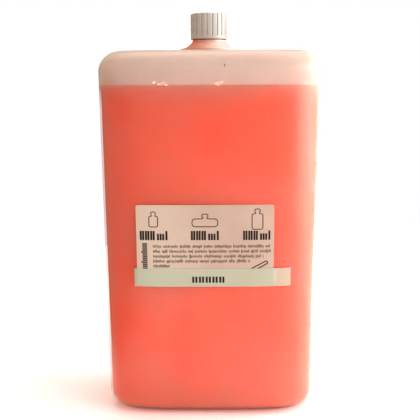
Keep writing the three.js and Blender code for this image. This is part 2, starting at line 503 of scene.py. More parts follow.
# %% Sizes of the neck and base
COLLAR_RADIUS = 8.5
COLLAR_TOP = 190.4
COLLAR_HEIGHT = 0.8
COLLAR_EDGE = 0.2
FINISH_RADIUS = 7.5
BORE_RADIUS = 5.6
LIP_EDGE = 0.4
FLARE_FOOT = 14.7
FLARE_KNEE = 11.5
FOOT_RISE = 1.2
FOOT_EDGE = 0.25
BEAD_DEPTH = 0.55
BEAD_PROFILE = [(0.03, 1.0), (0.3, 0.9), (0.6, 0.3), (0.95, 0.0), (3.0, 0.0), (6.0, 0.0)]
THREAD_PITCH = 3.175
THREAD_DEPTH = 0.8
THREAD_HALF_WIDTH = 0.75
THREAD_FLANK = 0.5
THREAD_TURNS = 1.75
THREAD_RUN_OUT = 0.125
THREAD_FOOT = 193.2
print(f"neck from {FLARE_FOOT} to {FINISH_RADIUS} mm in radius, with {THREAD_TURNS} turns of thread")

# %% [markdown]
# Each stretch of the bottle has a helper that gives its rings. The thread is not a piece of its own: it is
# an amount added to the radius of a ring, which depends on the height and on the angle round the neck.

# %% Rings of the neck and base
bearing = np.arctan2(plan[:, 1] * (half_depth - SHOULDER_EDGE), plan[:, 0] * (half_width - SHOULDER_EDGE))


def round_ring(radius, z, angle=bearing):
    """A turned ring. One of the neck has its points in the same directions as the shoulder's edge."""
    return np.stack([radius * np.cos(angle), radius * np.sin(angle), np.full(len(angle), z)], 1)


def thread_height(angle, z, foot, turns, phase):
    """How far a right-hand thread stands out at an angle and height, fading in and out at its ends."""
    place = (z - foot) / THREAD_PITCH - angle / (2 * np.pi) - phase
    nearest = np.round(place)
    away = np.abs(place - nearest) * THREAD_PITCH
    along = nearest + angle / (2 * np.pi)
    ends = np.clip(np.minimum(along, turns - along) / THREAD_RUN_OUT, 0, 1)
    flank = np.clip((THREAD_HALF_WIDTH - away) / THREAD_FLANK, 0, 1)
    return THREAD_DEPTH * flank * flank * (3 - 2 * flank) * ends


def bead_rings(offset, depth):
    """From the weld bead in the middle of the dish out to the dish's edge."""
    level = DISH_DEPTH + offset
    dish_edge = BASE_EDGE + TAPER + STANDING_RIM + DISH_RUN
    path = [(half_depth - away, level - share * depth) for away, share in BEAD_PROFILE]
    return [plan_ring(inset, z) for inset, z in path + [(dish_edge, level)]]


def shoulder_rings(offset, foot, steps):
    """From the rounded edge over the level shoulder to the foot of the neck."""
    edge = plan_ring(SHOULDER_EDGE, SHOULDER - offset)
    ring = round_ring(foot, SHOULDER - offset)
    shares = np.linspace(0, 1, steps)[1:]
    return [(1 - share) * edge + share * ring for share in shares]


def body_rings(path, with_seam):
    """Rings of the body along a path, with the mould's seam on the narrow sides."""
    raised = seam if with_seam else 0
    return [plan_ring(inset - raised, z) for inset, z in path]


print(f"shoulder of {len(shoulder_rings(0, FLARE_FOOT, 12))} rings")

# %% [markdown]
# The bottle is one closed skin: from the weld bead, up the outside, over the lip and down the inside. Its
# faces are sorted into an outside and an inside finish by the row they lie in.

# %% Bottle mesh


def neck_outside_rings():
    foot_top = SHOULDER + FOOT_RISE
    collar_foot = COLLAR_TOP - COLLAR_HEIGHT
    foot = joined(
        line((FLARE_FOOT, SHOULDER), (FLARE_FOOT, foot_top - FOOT_EDGE), 4),
        arc((FLARE_FOOT - FOOT_EDGE, foot_top - FOOT_EDGE), FOOT_EDGE, 0, 90, 5),
        bend((FLARE_FOOT - FOOT_EDGE, foot_top), (FLARE_KNEE, foot_top), (COLLAR_RADIUS, collar_foot), 14),
    )
    collar = joined(
        line((COLLAR_RADIUS, collar_foot), (COLLAR_RADIUS, COLLAR_TOP - COLLAR_EDGE), 3),
        arc((COLLAR_RADIUS - COLLAR_EDGE, COLLAR_TOP - COLLAR_EDGE), COLLAR_EDGE, 0, 90, 4),
        line((COLLAR_RADIUS - COLLAR_EDGE, COLLAR_TOP), (FINISH_RADIUS, COLLAR_TOP), 3),
    )
    rings = [round_ring(radius, z) for radius, z in joined(foot, collar)[1:]]
    for z in np.linspace(COLLAR_TOP, lip_top - LIP_EDGE, 60)[1:]:
        radius = FINISH_RADIUS + thread_height(bearing, z, THREAD_FOOT, THREAD_TURNS, 0)
        rings.append(round_ring(radius, z))
    lip = joined(
        arc((FINISH_RADIUS - LIP_EDGE, lip_top - LIP_EDGE), LIP_EDGE, 0, 90, 6),
        line((FINISH_RADIUS - LIP_EDGE, lip_top), (BORE_RADIUS + LIP_EDGE, lip_top), 3),
        arc((BORE_RADIUS + LIP_EDGE, lip_top - LIP_EDGE), LIP_EDGE, 90, 180, 6),
    )
    return rings + [round_ring(radius, z) for radius, z in lip[1:]]


def neck_inside_rings():
    ceiling = SHOULDER + FOOT_RISE - WALL
    funnel = FLARE_FOOT - WALL
    bore_foot = COLLAR_TOP - COLLAR_HEIGHT
    path = joined(
        line((BORE_RADIUS, lip_top - LIP_EDGE), (BORE_RADIUS, bore_foot), 6),
        bend((BORE_RADIUS, bore_foot), ((BORE_RADIUS + funnel) / 2, ceiling), (funnel, ceiling), 10),
        line((funnel, ceiling), (funnel, SHOULDER - WALL), 3),
    )
    return [round_ring(radius, z) for radius, z in path[1:]]


def outside_rings():
    upright = joined(base_path(0), wall_path(0, SHOULDER - SHOULDER_EDGE, 40), shoulder_path(0))
    rings = bead_rings(0, BEAD_DEPTH) + body_rings(upright[1:], True)
    return rings + shoulder_rings(0, FLARE_FOOT, 12) + neck_outside_rings()


def inside_rings():
    upright = joined(base_path(WALL), wall_path(WALL, SHOULDER - SHOULDER_EDGE, 24), shoulder_path(WALL))
    under_shoulder = shoulder_rings(WALL, FLARE_FOOT - WALL, 8)[::-1][1:]
    rings = neck_inside_rings() + under_shoulder + body_rings(upright[1:][::-1], False)
    return rings + bead_rings(WALL, 0)[::-1]


outside, inside = outside_rings(), inside_rings()
bottle_points = np.concatenate(outside + inside)
bottle_rows = len(outside) + len(inside)
bottle_faces = flat_end(0, columns, False) + grid_faces(bottle_rows, columns, True)
first_inside_face = len(bottle_faces) - len(inside) * columns
bottle_faces += flat_end((bottle_rows - 1) * columns, columns, True)
print(f"bottle of {bottle_rows} rings")

# %% [markdown]
# Milky polyethylene is clear plastic full of tiny scatterers: light passes, but softened and whitened. Where
# soap wets the wall it looks nearly clear, since the soap behind it takes over. The dry wall above stands
# against air and looks milky. A ray that crosses the wall at a slant meets more plastic, so the cover is
# worked out as one minus exp(-cover / cosine), with the cosine from Layer Weight. A blown wall is never
# equally thick, so the wet cover drifts slowly from place to place.

# %% Cover of the wall
LEAST_COSINE = 0.12
WALL_WAVE = 0.035
UNEVEN_SPAN = (0.3, 0.7)
COVER_DRIFT = (0.65, 1.4)
WET_COVER = 0.11
# Painted shade makes the wet wall clearer, and painted light makes it more milky.
SHADE_COVER_SHARE = 0.5
LIGHT_COVER_SHARE = 2.2
DRY_COVER = 0.56
NECK_COVER = 2.2


def slanted_cover(tree, cover):
    """The share of light that a thin layer stops along a ray, which grows as the ray slants."""
    facing = add_node(tree, "ShaderNodeLayerWeight", {"Blend": 0.5}).outputs["Facing"]
    cosine = math_node(tree, "SUBTRACT", 1.0 + LEAST_COSINE, facing)
    passed = math_node(tree, "EXPONENT", math_node(tree, "DIVIDE", cover, cosine))
    return math_node(tree, "SUBTRACT", 1.0, passed, clamp=True)


def wall_cover(tree, level):
    """How much the wall hides on a straight way through it, as a negative power of e."""
    drift = place_group(tree, moulded_skin, Wave_Size=WALL_WAVE)["Uneven"]
    drifting = ramp_between(tree, drift, *UNEVEN_SPAN, *(-share * WET_COVER for share in COVER_DRIFT))
    # Painted shade clears the wet wall, and painted light clouds it.
    shade_cover = ramp_between(tree, level["Painted_Shade"], 0.0, 1.0, 1.0, SHADE_COVER_SHARE)
    light_cover = ramp_between(tree, level["Painted_Light"], 0.0, 1.0, 1.0, LIGHT_COVER_SHARE)
    wet_cover = math_node(tree, "MULTIPLY", drifting, math_node(tree, "MULTIPLY", shade_cover, light_cover))
    body_cover = mix_value(tree, level["Dry"], wet_cover, -DRY_COVER)
    return mix_value(tree, level["Neck"], body_cover, -NECK_COVER)


wet_share, dry_share = 1 - math.exp(-WET_COVER), 1 - math.exp(-DRY_COVER)
print(f"seen straight on, the wall hides {wet_share:.2f} where wet and {dry_share:.2f} where dry")

# %% [markdown]
# The wall is a warm white. Along the left side and round the lower edge, its outside is painted a darker red
# as painted shade. The inside has its own finish: soap clings to it as a pink film that thins upwards, and
# the rest of the inside is painted pink, a painted glow that stands in for the soap's light in the
# headspace.
# In the neck, the soap's salmon is painted deeper on the left, as painted shade, and paler on the right, as
# painted light.

# %% Bottle finishes
WALL_COLOUR = (0.735, 0.67, 0.615, 1)
FILM_COLOUR = (0.98, 0.36, 0.25, 1)
RUBBED_COLOUR = (0.765, 0.695, 0.635, 1)
# The inside's pink is a painted glow, standing in for the soap's light in the headspace.
INNER_PINK_GLOW_COLOUR = (0.98, 0.79, 0.675, 1)
# A darker red for the outside where painted shade lies.
PAINTED_SHADE_RED = (0.70, 0.20, 0.14, 1)
BODY_ROUGHNESS = (0.34, 0.46)
# The neck's salmon is painted deeper on its left, as painted shade, and paler on its right, as painted
# light.
NECK_SALMON_SHADED = (0.79, 0.34, 0.225, 1)
NECK_PALE_LIT = (0.90, 0.70, 0.66, 1)
NECK_SHADE_TO_LIGHT = (-0.009, 0.006)
NECK_ROUGHNESS = 0.22


def wall_finish(name, film_side):
    """The finish of one side of the wall. Only the film side carries a soap film."""
    material, tree, shader = new_material(name, IOR=1.5)
    level = place_group(tree, soap_line)
    marks = place_group(tree, handling)
    if film_side:
        # Above the film, the inside takes its painted glow colour.
        body_colour = mix_colour(tree, level["Film"], INNER_PINK_GLOW_COLOUR, FILM_COLOUR)
    else:
        dry_colour = mix_colour(tree, marks["Rubbed"], WALL_COLOUR, RUBBED_COLOUR)
        # Painted shade: the outside turns darker red along the left side and round the lower edge.
        body_colour = mix_colour(tree, level["Painted_Shade"], dry_colour, PAINTED_SHADE_RED)
    # Painted shade and light: the neck turns from deep salmon on the left to pale on the right.
    neck_lit_share = ramp_between(tree, place_along(tree, "X"), *NECK_SHADE_TO_LIGHT)
    neck_colour = mix_colour(tree, neck_lit_share, NECK_SALMON_SHADED, NECK_PALE_LIT)
    colour = mix_colour(tree, level["Neck"], body_colour, neck_colour)
    body_rough = ramp_between(tree, marks["Rubbed"], 0.0, 1.0, *BODY_ROUGHNESS)
    rough = mix_value(tree, level["Neck"], body_rough, NECK_ROUGHNESS)
    feed(shader, Base_Color=colour, Roughness=rough, Alpha=slanted_cover(tree, wall_cover(tree, level)))
    set_bump(tree, shader, place_group(tree, moulded_skin)["Height"], 0.12, 0.0002)
    return material


finishes = [wall_finish("milky_wall_outside", False), wall_finish("milky_wall_inside", True)]
bottle = make_piece(
    "milky_bottle", bottle_points, bottle_faces, finishes, "bottle", "bottle"
)
for face in bottle.data.polygons[first_inside_face:]:
    face.material_index = 1

# %% [markdown]
# The soap fills the shell with a hair's breadth to spare, so that the two surfaces never fight for the same
# place. Its top is level but for a meniscus, the small rise where a liquid climbs the wall it wets. Pearly
# soap scatters light deeply, red furthest of all, which is why it seems to glow from within: subsurface
# scattering with a longer reach in red does that.

# %% Soap
SOAP_CLEARANCE = 0.06
MENISCUS_RISE = 0.12
MENISCUS_REACH = 1.1
MENISCUS_STEPS = [0.12, 0.3, 0.55, 0.9, 1.4, 2.1, 3.0, 4.5, 8, 14, 20, 26]
CREST_BAND = 4.0
SPINE_WIDTH = 0.03
SOAP_COLOUR = (0.98, 0.119, 0.043, 1)
SOAP_DEEP = (0.97, 0.104, 0.038, 1)
SOAP_GLOW_DEPTH = 0.085
SOAP_GLOW_REACH = (1.0, 0.036, 0.018)
SWIRL_STRETCH = (1.0, 1.0, 0.35)
SWIRL_SCALE = 26.0
SWIRL_TWIST = 1.2
SWIRL_SPAN = (0.35, 0.7)


def soap_rings():
    offset = WALL + SOAP_CLEARANCE
    crest = soap_top + MENISCUS_RISE
    tapered = wall_path(offset, soap_top - CREST_BAND, 28)
    top_edge = (offset + side_inset(crest), crest)
    upright = joined(base_path(offset), tapered, line(tapered[-1], top_edge, 12))
    rings = bead_rings(offset, 0) + [plan_ring(inset, z) for inset, z in upright[1:]]
    for step in MENISCUS_STEPS + [half_depth - top_edge[0] - SPINE_WIDTH]:
        level = soap_top + MENISCUS_RISE * np.exp(-step / MENISCUS_REACH)
        rings.append(plan_ring(top_edge[0] + step, level))
    return rings


def soap_finish():
    material, tree, shader = new_material(
        "coral_soap", Roughness=0.42, IOR=1.5, Coat_Weight=1.0, Coat_Roughness=0.3, Coat_IOR=1.5,
        Subsurface_Weight=1.0, Subsurface_Scale=SOAP_GLOW_DEPTH, Subsurface_Radius=SOAP_GLOW_REACH,
    )
    drawn_out = add_node(tree, "ShaderNodeMapping", {"Vector": object_place(tree), "Scale": SWIRL_STRETCH})
    swirl = noise(tree, drawn_out.outputs[0], SWIRL_SCALE, 3.0, SWIRL_TWIST)
    share = ramp_between(tree, swirl, *SWIRL_SPAN)
    feed(shader, Base_Color=mix_colour(tree, share, SOAP_COLOUR, SOAP_DEEP))
    return material


soap_stack = soap_rings()
soap_faces = grid_faces(len(soap_stack), columns, True)
soap_faces += flat_end(0, columns, False) + flat_end((len(soap_stack) - 1) * columns, columns, True)
make_piece(
    "coral_soap", np.concatenate(soap_stack), soap_faces, [soap_finish()], "bottle", "soap_fill"
)

# %% [markdown]
# Where the soap was shaken, small bubbles gather against the front wall and stay on the soap line in little
# rafts. A raft is given by its middle, its reach and its number of bubbles. Each bubble is a small flattened
# bead in the thickness of the wall, where the milky skin can't hide it. It glows faintly: the glow is a
# painted glint, an emission that stands in for the light a real bubble gathers. Seeded draws place them, so
# they are the same each time.

# %% Bubbles at the soap line
BUBBLE_RAFTS = [(-23.0, 3.8, 8), (5.0, 2.2, 6), (46.2, 1.5, 4)]
BUBBLE_RADII = (0.26, 0.5)
BUBBLE_FLATNESS = 0.6
BUBBLE_SHIFT = 0.3
BUBBLE_LEVELS = (-0.2, 1.5)
# The bubbles' glow is a painted glint, not a lamp.
PAINTED_GLINT_GLOW = 0.75
FOAM_COVER = (0.8, 1.0)
FOAM_GRAIN = 900.0
FOAM_PALE = (1.0, 0.92, 0.74, 1)
FOAM_WARM = (1.0, 0.82, 0.62, 1)
draw = np.random.default_rng(7)


def front_wall(x, z, offset):
    """How far forward the front wall lies at a place, moved out by an offset."""
    across = half_width - side_inset(z) + offset
    deep = half_depth - side_inset(z) + offset
    return -deep * (1 - np.minimum(np.abs(x) / across, 1) ** PLAN_POWER) ** (1 / PLAN_POWER)


def bubble_mesh():
    """All bubbles as one mesh of small round beads."""
    beads = bmesh.new()
    for middle, spread, count in BUBBLE_RAFTS:
        for number in range(count):
            radius = draw.uniform(*BUBBLE_RADII)
            x = middle + spread * ((2 * number + 1) / count - 1) + draw.uniform(-BUBBLE_SHIFT, BUBBLE_SHIFT)
            z = soap_top + draw.uniform(*BUBBLE_LEVELS)
            y = front_wall(x, z, -WALL / 2)
            flat = Matrix.Diagonal((radius, BUBBLE_FLATNESS * radius, radius, 1))
            shift = Matrix.Translation((x, y, z)) @ flat
            bmesh.ops.create_icosphere(beads, subdivisions=2, radius=1.0, matrix=shift)
    points = [tuple(v.co) for v in beads.verts]
    faces = [[v.index for v in face.verts] for face in beads.faces]
    beads.free()
    return points, faces


def foam_finish():
    material, tree, shader = new_material("soap_foam", Roughness=0.15, IOR=1.33, Emission_Strength=PAINTED_GLINT_GLOW)
    facing = add_node(tree, "ShaderNodeLayerWeight", {"Blend": 0.5}).outputs["Facing"]
    feed(shader, Alpha=ramp_between(tree, facing, 0.0, 1.0, *FOAM_COVER))
    tint = mix_colour(tree, noise(tree, object_place(tree), FOAM_GRAIN), FOAM_PALE, FOAM_WARM)
    # The emission paints a glint on each bubble, in its own tint.
    feed(shader, Base_Color=tint, Emission_Color=tint)
    return material


bubble_points, bubble_faces = bubble_mesh()
make_piece("soap_bubbles", bubble_points, bubble_faces, [foam_finish()], "bottle")

# %% [markdown]
# The cap is moulded in one piece: a plain band below, then broad flat lands with narrow grooves between them
# for the grip, which run out over the rounded top edge. A groove is cut by limiting the radius of each ring
# point, the way a cutter would, so it leaves the top edge with a true notch. Inside, a thread matches the
# one on the neck, half a pitch away from it.

# %% Sizes and grooves of the cap
GROOVES = 22
GROOVE_STEPS = 22
GROOVE_DEPTH = 0.45
GROOVE_HALF_WIDTH = 0.52
GROOVE_BEARING = 1.7
GROOVE_RUN_OUT = 0.35
GROOVE_FOOT = 0.4
CAP_BAND = 1.5
CAP_EDGE = 0.8
CAP_FILLET = 0.3
CAP_ROOF = 1.4
CAP_SKIRT = 0.8
CAP_CENTRE = 0.4
ROOF_RADII = (CAP_CENTRE, 3, 5.5, 7.4)
HALF_TURN = 0.5
cap_radius = cap_high[0]
cap_top, cap_bottom = cap_high[2], cap_low[2]
skirt_radius = cap_radius - CAP_SKIRT
cap_columns = GROOVES * GROOVE_STEPS
cap_angle = np.arange(cap_columns) * 2 * np.pi / cap_columns


def groove_cut(z):
    """How deep the grooves are around the cap at a height."""
    pitch = 2 * np.pi / GROOVES
    from_groove = (cap_angle - math.radians(GROOVE_BEARING) + pitch / 2) % pitch - pitch / 2
    away = np.abs(from_groove) * cap_radius / GROOVE_HALF_WIDTH
    vee = np.clip(1 - away, 0, 1)
    rise = np.clip((z - cap_bottom - CAP_BAND) / GROOVE_RUN_OUT, 0, 1)
    return GROOVE_DEPTH * np.sqrt(vee) * rise


print(f"cap {2 * cap_radius:.1f} mm wide with {GROOVES} grooves")

# %% [markdown]
# The cap's rings run from the middle of the roof's underside, down the threaded inside, round the foot, up
# the grooved outside and in to the middle of the top. A point on the axis closes each end.

# %% Cap mesh


def cap_rings():
    roof = cap_top - CAP_ROOF
    rings = [round_ring(radius, roof, cap_angle) for radius in (*ROOF_RADII, skirt_radius - CAP_FILLET)]
    corner = arc((skirt_radius - CAP_FILLET, roof - CAP_FILLET), CAP_FILLET, 90, 0, 5)[1:]
    rings += [round_ring(radius, z, cap_angle) for radius, z in corner]
    thread = (THREAD_FOOT - THREAD_PITCH, THREAD_TURNS + HALF_TURN, HALF_TURN)
    for z in np.linspace(roof - CAP_FILLET, cap_bottom + CAP_FILLET, 52)[1:]:
        rings.append(round_ring(skirt_radius - thread_height(cap_angle, z, *thread), z, cap_angle))
    foot = joined(
        arc((skirt_radius + CAP_FILLET, cap_bottom + CAP_FILLET), CAP_FILLET, 180, 270, 4),
        arc((cap_radius - CAP_FILLET, cap_bottom + CAP_FILLET), CAP_FILLET, 270, 360, 4),
    )
    rings += [round_ring(radius, z, cap_angle) for radius, z in foot[1:]]
    band_top = cap_bottom + CAP_BAND
    upright = joined(
        line((cap_radius, cap_bottom + CAP_FILLET), (cap_radius, band_top), 4),
        line((cap_radius, band_top), (cap_radius, band_top + GROOVE_FOOT), 5),
        line((cap_radius, band_top + GROOVE_FOOT), (cap_radius, cap_top - CAP_EDGE), 8),
        arc((cap_radius - CAP_EDGE, cap_top - CAP_EDGE), CAP_EDGE, 0, 90, 10),
        line((cap_radius - CAP_EDGE, cap_top), (CAP_CENTRE, cap_top), 8),
    )
    for radius, z in upright[1:]:
        rings.append(round_ring(np.minimum(radius, cap_radius - groove_cut(z)), z, cap_angle))
    return rings


def closed_by_points(rings):
    """A stack of round rings with a point on the axis at each end."""
    around = len(rings[0])
    points = np.concatenate(rings + [rings[0].mean(0)[None], rings[-1].mean(0)[None]])
    start, end = len(points) - 2, len(points) - 1
    last = (len(rings) - 1) * around
    faces = grid_faces(len(rings), around, True)
    for j in range(around):
        after = (j + 1) % around
        faces.append([start, after, j])
        faces.append([end, last + j, last + after])
    return points, faces


cap_stack = cap_rings()
cap_points, cap_faces = closed_by_points(cap_stack)
print(f"cap of {len(cap_stack)} rings")

# %% [markdown]
# Moulded polypropylene is a satin white with a grain that only shows in the highlights. Fingers have left
# faint dusky patches, which the handling group provides, and the gloss drifts with the skin's waviness.

# %% Cap finish
CAP_COLOUR = (0.56, 0.55, 0.535, 1)
CAP_DUSKY = (0.51, 0.495, 0.47, 1)
CAP_ROUGHNESS = (0.26, 0.38)


def cap_finish():
    material, tree, shader = new_material("satin_cap", IOR=1.49)
    skin = place_group(tree, moulded_skin, Grain_Size=0.00035, Wave_Size=0.006)
    marks = place_group(tree, handling, Patch_Size=0.004)
    colour = mix_colour(tree, marks["Rubbed"], CAP_COLOUR, CAP_DUSKY)
    rough = ramp_between(tree, skin["Uneven"], *UNEVEN_SPAN, *CAP_ROUGHNESS)
    feed(shader, Base_Color=colour, Roughness=rough)
    set_bump(tree, shader, skin["Height"], 0.15)
    return material


make_piece("ribbed_cap", cap_points, cap_faces, [cap_finish()], "cap", "screw_cap")

# %% [markdown]
# Under the cap's roof lies a disc of foam that the lip presses into when the cap is tight. The disc is
# turned from a short path, with soft edges and the shallow ring that the lip has left in its underside.

# %% Liner
LINER_COLUMNS = 96
LINER_CENTRE = 0.3
LINER_EDGE = 0.2
PRINT_DEPTH = 0.06
PRINT_MARGIN = 0.2
PRINT_SLOPE = 0.5
FOAM_CELLS = 2600.0
CELL_SPAN = (0.0, 0.6)
CELL_COLOUR = (0.80, 0.79, 0.76, 1)
CELL_WALL_COLOUR = (0.88, 0.87, 0.85, 1)


def liner_rings():
    radius, low, high = liner_high[0], liner_low[2], liner_high[2]
    pressed = low + PRINT_DEPTH
    print_from, print_to = BORE_RADIUS - PRINT_MARGIN, FINISH_RADIUS + PRINT_MARGIN
    path = joined(
        line((LINER_CENTRE, low), (print_from, low), 6),
        soft_step((print_from, low), (print_from + PRINT_SLOPE, pressed), 5),
        line((print_from + PRINT_SLOPE, pressed), (print_to - PRINT_SLOPE, pressed), 3),
        soft_step((print_to - PRINT_SLOPE, pressed), (print_to, low), 5),
        line((print_to, low), (radius - LINER_EDGE, low), 3),
        arc((radius - LINER_EDGE, low + LINER_EDGE), LINER_EDGE, 270, 360, 5),
        line((radius, low + LINER_EDGE), (radius, high - LINER_EDGE), 4),
        arc((radius - LINER_EDGE, high - LINER_EDGE), LINER_EDGE, 0, 90, 5),
        line((radius - LINER_EDGE, high), (LINER_CENTRE, high), 8),
    )
    angle = np.arange(LINER_COLUMNS) * 2 * np.pi / LINER_COLUMNS
    return [round_ring(reach, z, angle) for reach, z in path]


def foam_disc_finish():
    material, tree, shader = new_material("liner_foam", Roughness=0.85)
    cells = add_node(tree, "ShaderNodeTexVoronoi", {"Vector": object_place(tree), "Scale": FOAM_CELLS})
    height = cells.outputs["Distance"]
    tint = mix_colour(tree, ramp_between(tree, height, *CELL_SPAN), CELL_COLOUR, CELL_WALL_COLOUR)
    feed(shader, Base_Color=tint)
    set_bump(tree, shader, height, 0.3)
    return material


liner_points, liner_faces = closed_by_points(liner_rings())
make_piece(
    "foam_liner", liner_points, liner_faces, [foam_disc_finish()], "liner", "cap_liner"
)

# %% [markdown]
# A sticker is a thin sheet that follows the wall. It is a grid across its outline: each row runs from the
# left edge to the right, and the rows near the corners are shorter, which rounds them. A front and a back
# layer with a rim between them make it a closed sheet of real thickness.

# %% Stickers as thin sheets
STICKER_THICKNESS = 0.12
STICKER_LIFT = 0.1
LABEL_SEAT = 0.02
LABEL_CORNER = 1.2


def sticker_rows(low, high, corner, rows, across):
    """Places on a rounded rectangle, row by row, as across and up."""
    middle, half = (low + high) / 2, (high - low) / 2
    turn = np.radians(np.linspace(-90, 0, 6))
    lower = half[1] - corner - corner * np.sin(turn)
    shorten = corner - corner * np.cos(turn)
    straight = np.linspace(-lower[-1], lower[-1], rows)[1:-1]
    ups = np.concatenate([-lower, straight, lower[::-1]])
    cuts = np.concatenate([shorten, np.zeros(len(straight)), shorten[::-1]])
    shares = np.linspace(-1, 1, across)
    x = middle[0] + shares[None, :] * (half[0] - cuts)[:, None]
    z = np.broadcast_to((middle[1] + ups)[:, None], x.shape)
    return x, z


def sheet_between(x, z, back, front):
    """Points and faces of a closed sheet on the front wall, between two offsets from it."""
    rows, across = x.shape
    layers = [np.stack([x, front_wall(x, z, lift), z], -1).reshape(-1, 3) for lift in (front, back)]
    faces = grid_faces(rows, across, False)
    under = rows * across
    faces += [[under + i for i in face[::-1]] for face in faces]
    index = np.arange(rows * across).reshape(rows, across)
    rim = np.concatenate([index[0], index[1:, -1], index[-1, -2::-1], index[-2:0:-1, 0]]).tolist()
    for here, after in zip(rim, rim[1:] + rim[:1]):
        faces.append([after, here, under + here, under + after])
    return np.concatenate(layers), faces


label_middle = (label_low[0] + label_high[0]) / 2
label_half = (label_high[0] - label_low[0]) / 2
label_x, label_z = sticker_rows(label_low[[0, 2]], label_high[[0, 2]], LABEL_CORNER, 20, 40)
label_front = STICKER_LIFT + STICKER_THICKNESS
label_points, label_faces = sheet_between(label_x, label_z, LABEL_SEAT, label_front)
print(f"label grid {label_x.shape}")

# %% [markdown]
# The label is a thin film with a satin face that lets some of the soap's warmth through, and more of that
# warmth is painted into its peach colour, as a painted glow. The paper strip is matt, with short fibres and
# a faint grain. It hides what lies behind it, so past the label, where soap alone is behind it, a warmer
# colour is painted on it, the painted glow of the soap through thin paper. Both are paler towards the left
# and darker towards the right. They share one group for the mottled fibre look, at their own size.

# %% Sticker finishes
# The label's peach colours carry some painted glow of the soap behind it.
LABEL_FINISH = {
    "plain": (0.68, 0.55, 0.48, 1), "mottled": (0.65, 0.515, 0.445, 1), "paler_left": (0.79, 0.68, 0.605, 1),
    "alpha": 0.80, "roughness": 0.42, "cloud_size": 0.018, "bump": 0.08,
}
STRIP_FINISH = {
    "plain": (0.51, 0.51, 0.43, 1), "mottled": (0.49, 0.48, 0.39, 1), "paler_left": (0.54, 0.565, 0.47, 1),
    "alpha": 1.0, "roughness": 0.6, "cloud_size": 0.03, "bump": 0.2, "soap_glow_past_label": (0.56, 0.46, 0.375, 1),
}
FIBRE_STRETCH = (0.3, 1.0, 1.0)
CLOUD_SPAN = (0.35, 0.68)
PALER_LEFT_TO = 0.008
PAST_LABEL = (-1.0, 4.0)
ROUGHNESS_DRIFT = 0.06


def mottle_group():
    inputs = {"Cloud Size": 0.012, "Fibre Size": 0.0005}
    tree, given, out = new_group("fibre_mottle", inputs, ["Cloud", "Fibre"])
    place = object_place(tree)
    cloud = noise(tree, place, scale_for(tree, given["Cloud Size"]))
    drawn_out = add_node(tree, "ShaderNodeMapping", {"Vector": place, "Scale": FIBRE_STRETCH})
    fibre = noise(tree, drawn_out.outputs[0], scale_for(tree, given["Fibre Size"]), 3.0)
    tree.links.new(ramp_between(tree, cloud, *CLOUD_SPAN), out["Cloud"])
    tree.links.new(fibre, out["Fibre"])
    return tree


fibre_mottle = mottle_group()


def sticker_finish(name, plain, mottled, paler_left, alpha, roughness, cloud_size, bump, soap_glow_past_label=None):
    """A mottled sheet, paler towards the left, which may have a painted glow colour past the label's ends.
    """
    material, tree, shader = new_material(name, Alpha=alpha, IOR=1.45)
    mottle = place_group(tree, fibre_mottle, Cloud_Size=cloud_size)
    across = place_along(tree, "X")
    left_share = ramp_between(tree, across, label_low[0] * MM, PALER_LEFT_TO, 1.0, 0.0)
    colour = mix_colour(tree, left_share, mix_colour(tree, mottle["Cloud"], plain, mottled), paler_left)
    # Past the label's ends the strip takes a painted glow, the soap's warmth that thin paper would let
    # through.
    if soap_glow_past_label:
        away = math_node(tree, "ABSOLUTE", math_node(tree, "SUBTRACT", across, label_middle * MM))
        past = ramp_between(tree, away, *((label_half + step) * MM for step in PAST_LABEL))
        colour = mix_colour(tree, past, colour, soap_glow_past_label)
    spread = (roughness - ROUGHNESS_DRIFT, roughness + ROUGHNESS_DRIFT)
    rough = ramp_between(tree, mottle["Fibre"], *UNEVEN_SPAN, *spread)
    feed(shader, Base_Color=colour, Roughness=rough)
    set_bump(tree, shader, mottle["Fibre"], bump)
    return material


label_film = sticker_finish("label_film", **LABEL_FINISH)
strip_paper = sticker_finish("strip_paper", **STRIP_FINISH)
make_piece("film_label", label_points, label_faces, [label_film], "bottle", "product_label")

# %% [markdown]
# The strip was stuck on later, over the lower edge of the label, so most of it lies one film higher than the
# part that reaches past the label on to the wall. Its offset from the wall steps down softly across the
# label's edges.

# %% Strip
STRIP_CORNER = 0.3
STRIP_SEAT = 0.03
STRIP_PRESS = 0.01
STEP_REACH_ACROSS = 1.4
STEP_REACH_UP = 0.5


def soft_inside(value, low, high, reach):
    """One inside a span, falling softly to nothing beyond its ends."""
    rise = np.clip((value - low) / reach + 1, 0, 1)
    fall = np.clip((high - value) / reach + 1, 0, 1)
    return rise * rise * (3 - 2 * rise) * fall * fall * (3 - 2 * fall)


def strip_lift(x, z):
    """How far the back of the strip lies from the wall: on the label where that is under it."""
    over_x = soft_inside(x, label_low[0], label_high[0], STEP_REACH_ACROSS)
    over_z = soft_inside(z, label_low[2], label_high[2], STEP_REACH_UP)
    return STRIP_SEAT + (label_front - STRIP_PRESS) * over_x * over_z


strip_x, strip_z = sticker_rows(strip_low[[0, 2]], strip_high[[0, 2]], STRIP_CORNER, 24, 120)
strip_back = strip_lift(strip_x, strip_z)
strip_points, strip_faces = sheet_between(strip_x, strip_z, strip_back, strip_back + STICKER_THICKNESS)
make_piece("paper_strip", strip_points, strip_faces, [strip_paper], "bottle", "code_strip")

# %% [markdown]
# The print is ink of almost no thickness. Words are greeked, as in a layout sketch: only the upright stems
# of letters are there, so that lines keep their weight and rhythm and say nothing. Every mark is a small
# closed patch that follows the film, so it stays crisp from any side.

# %% Ink patches
INK_TOP = 0.012
INK_FOOT = 0.002


def on_wall(outline, lift):
    """An outline of (across, up) points, laid on a surface that far from the front wall."""
    x, z = outline[:, 0], outline[:, 1]
    return np.stack([x, front_wall(x, z, lift), z], 1)


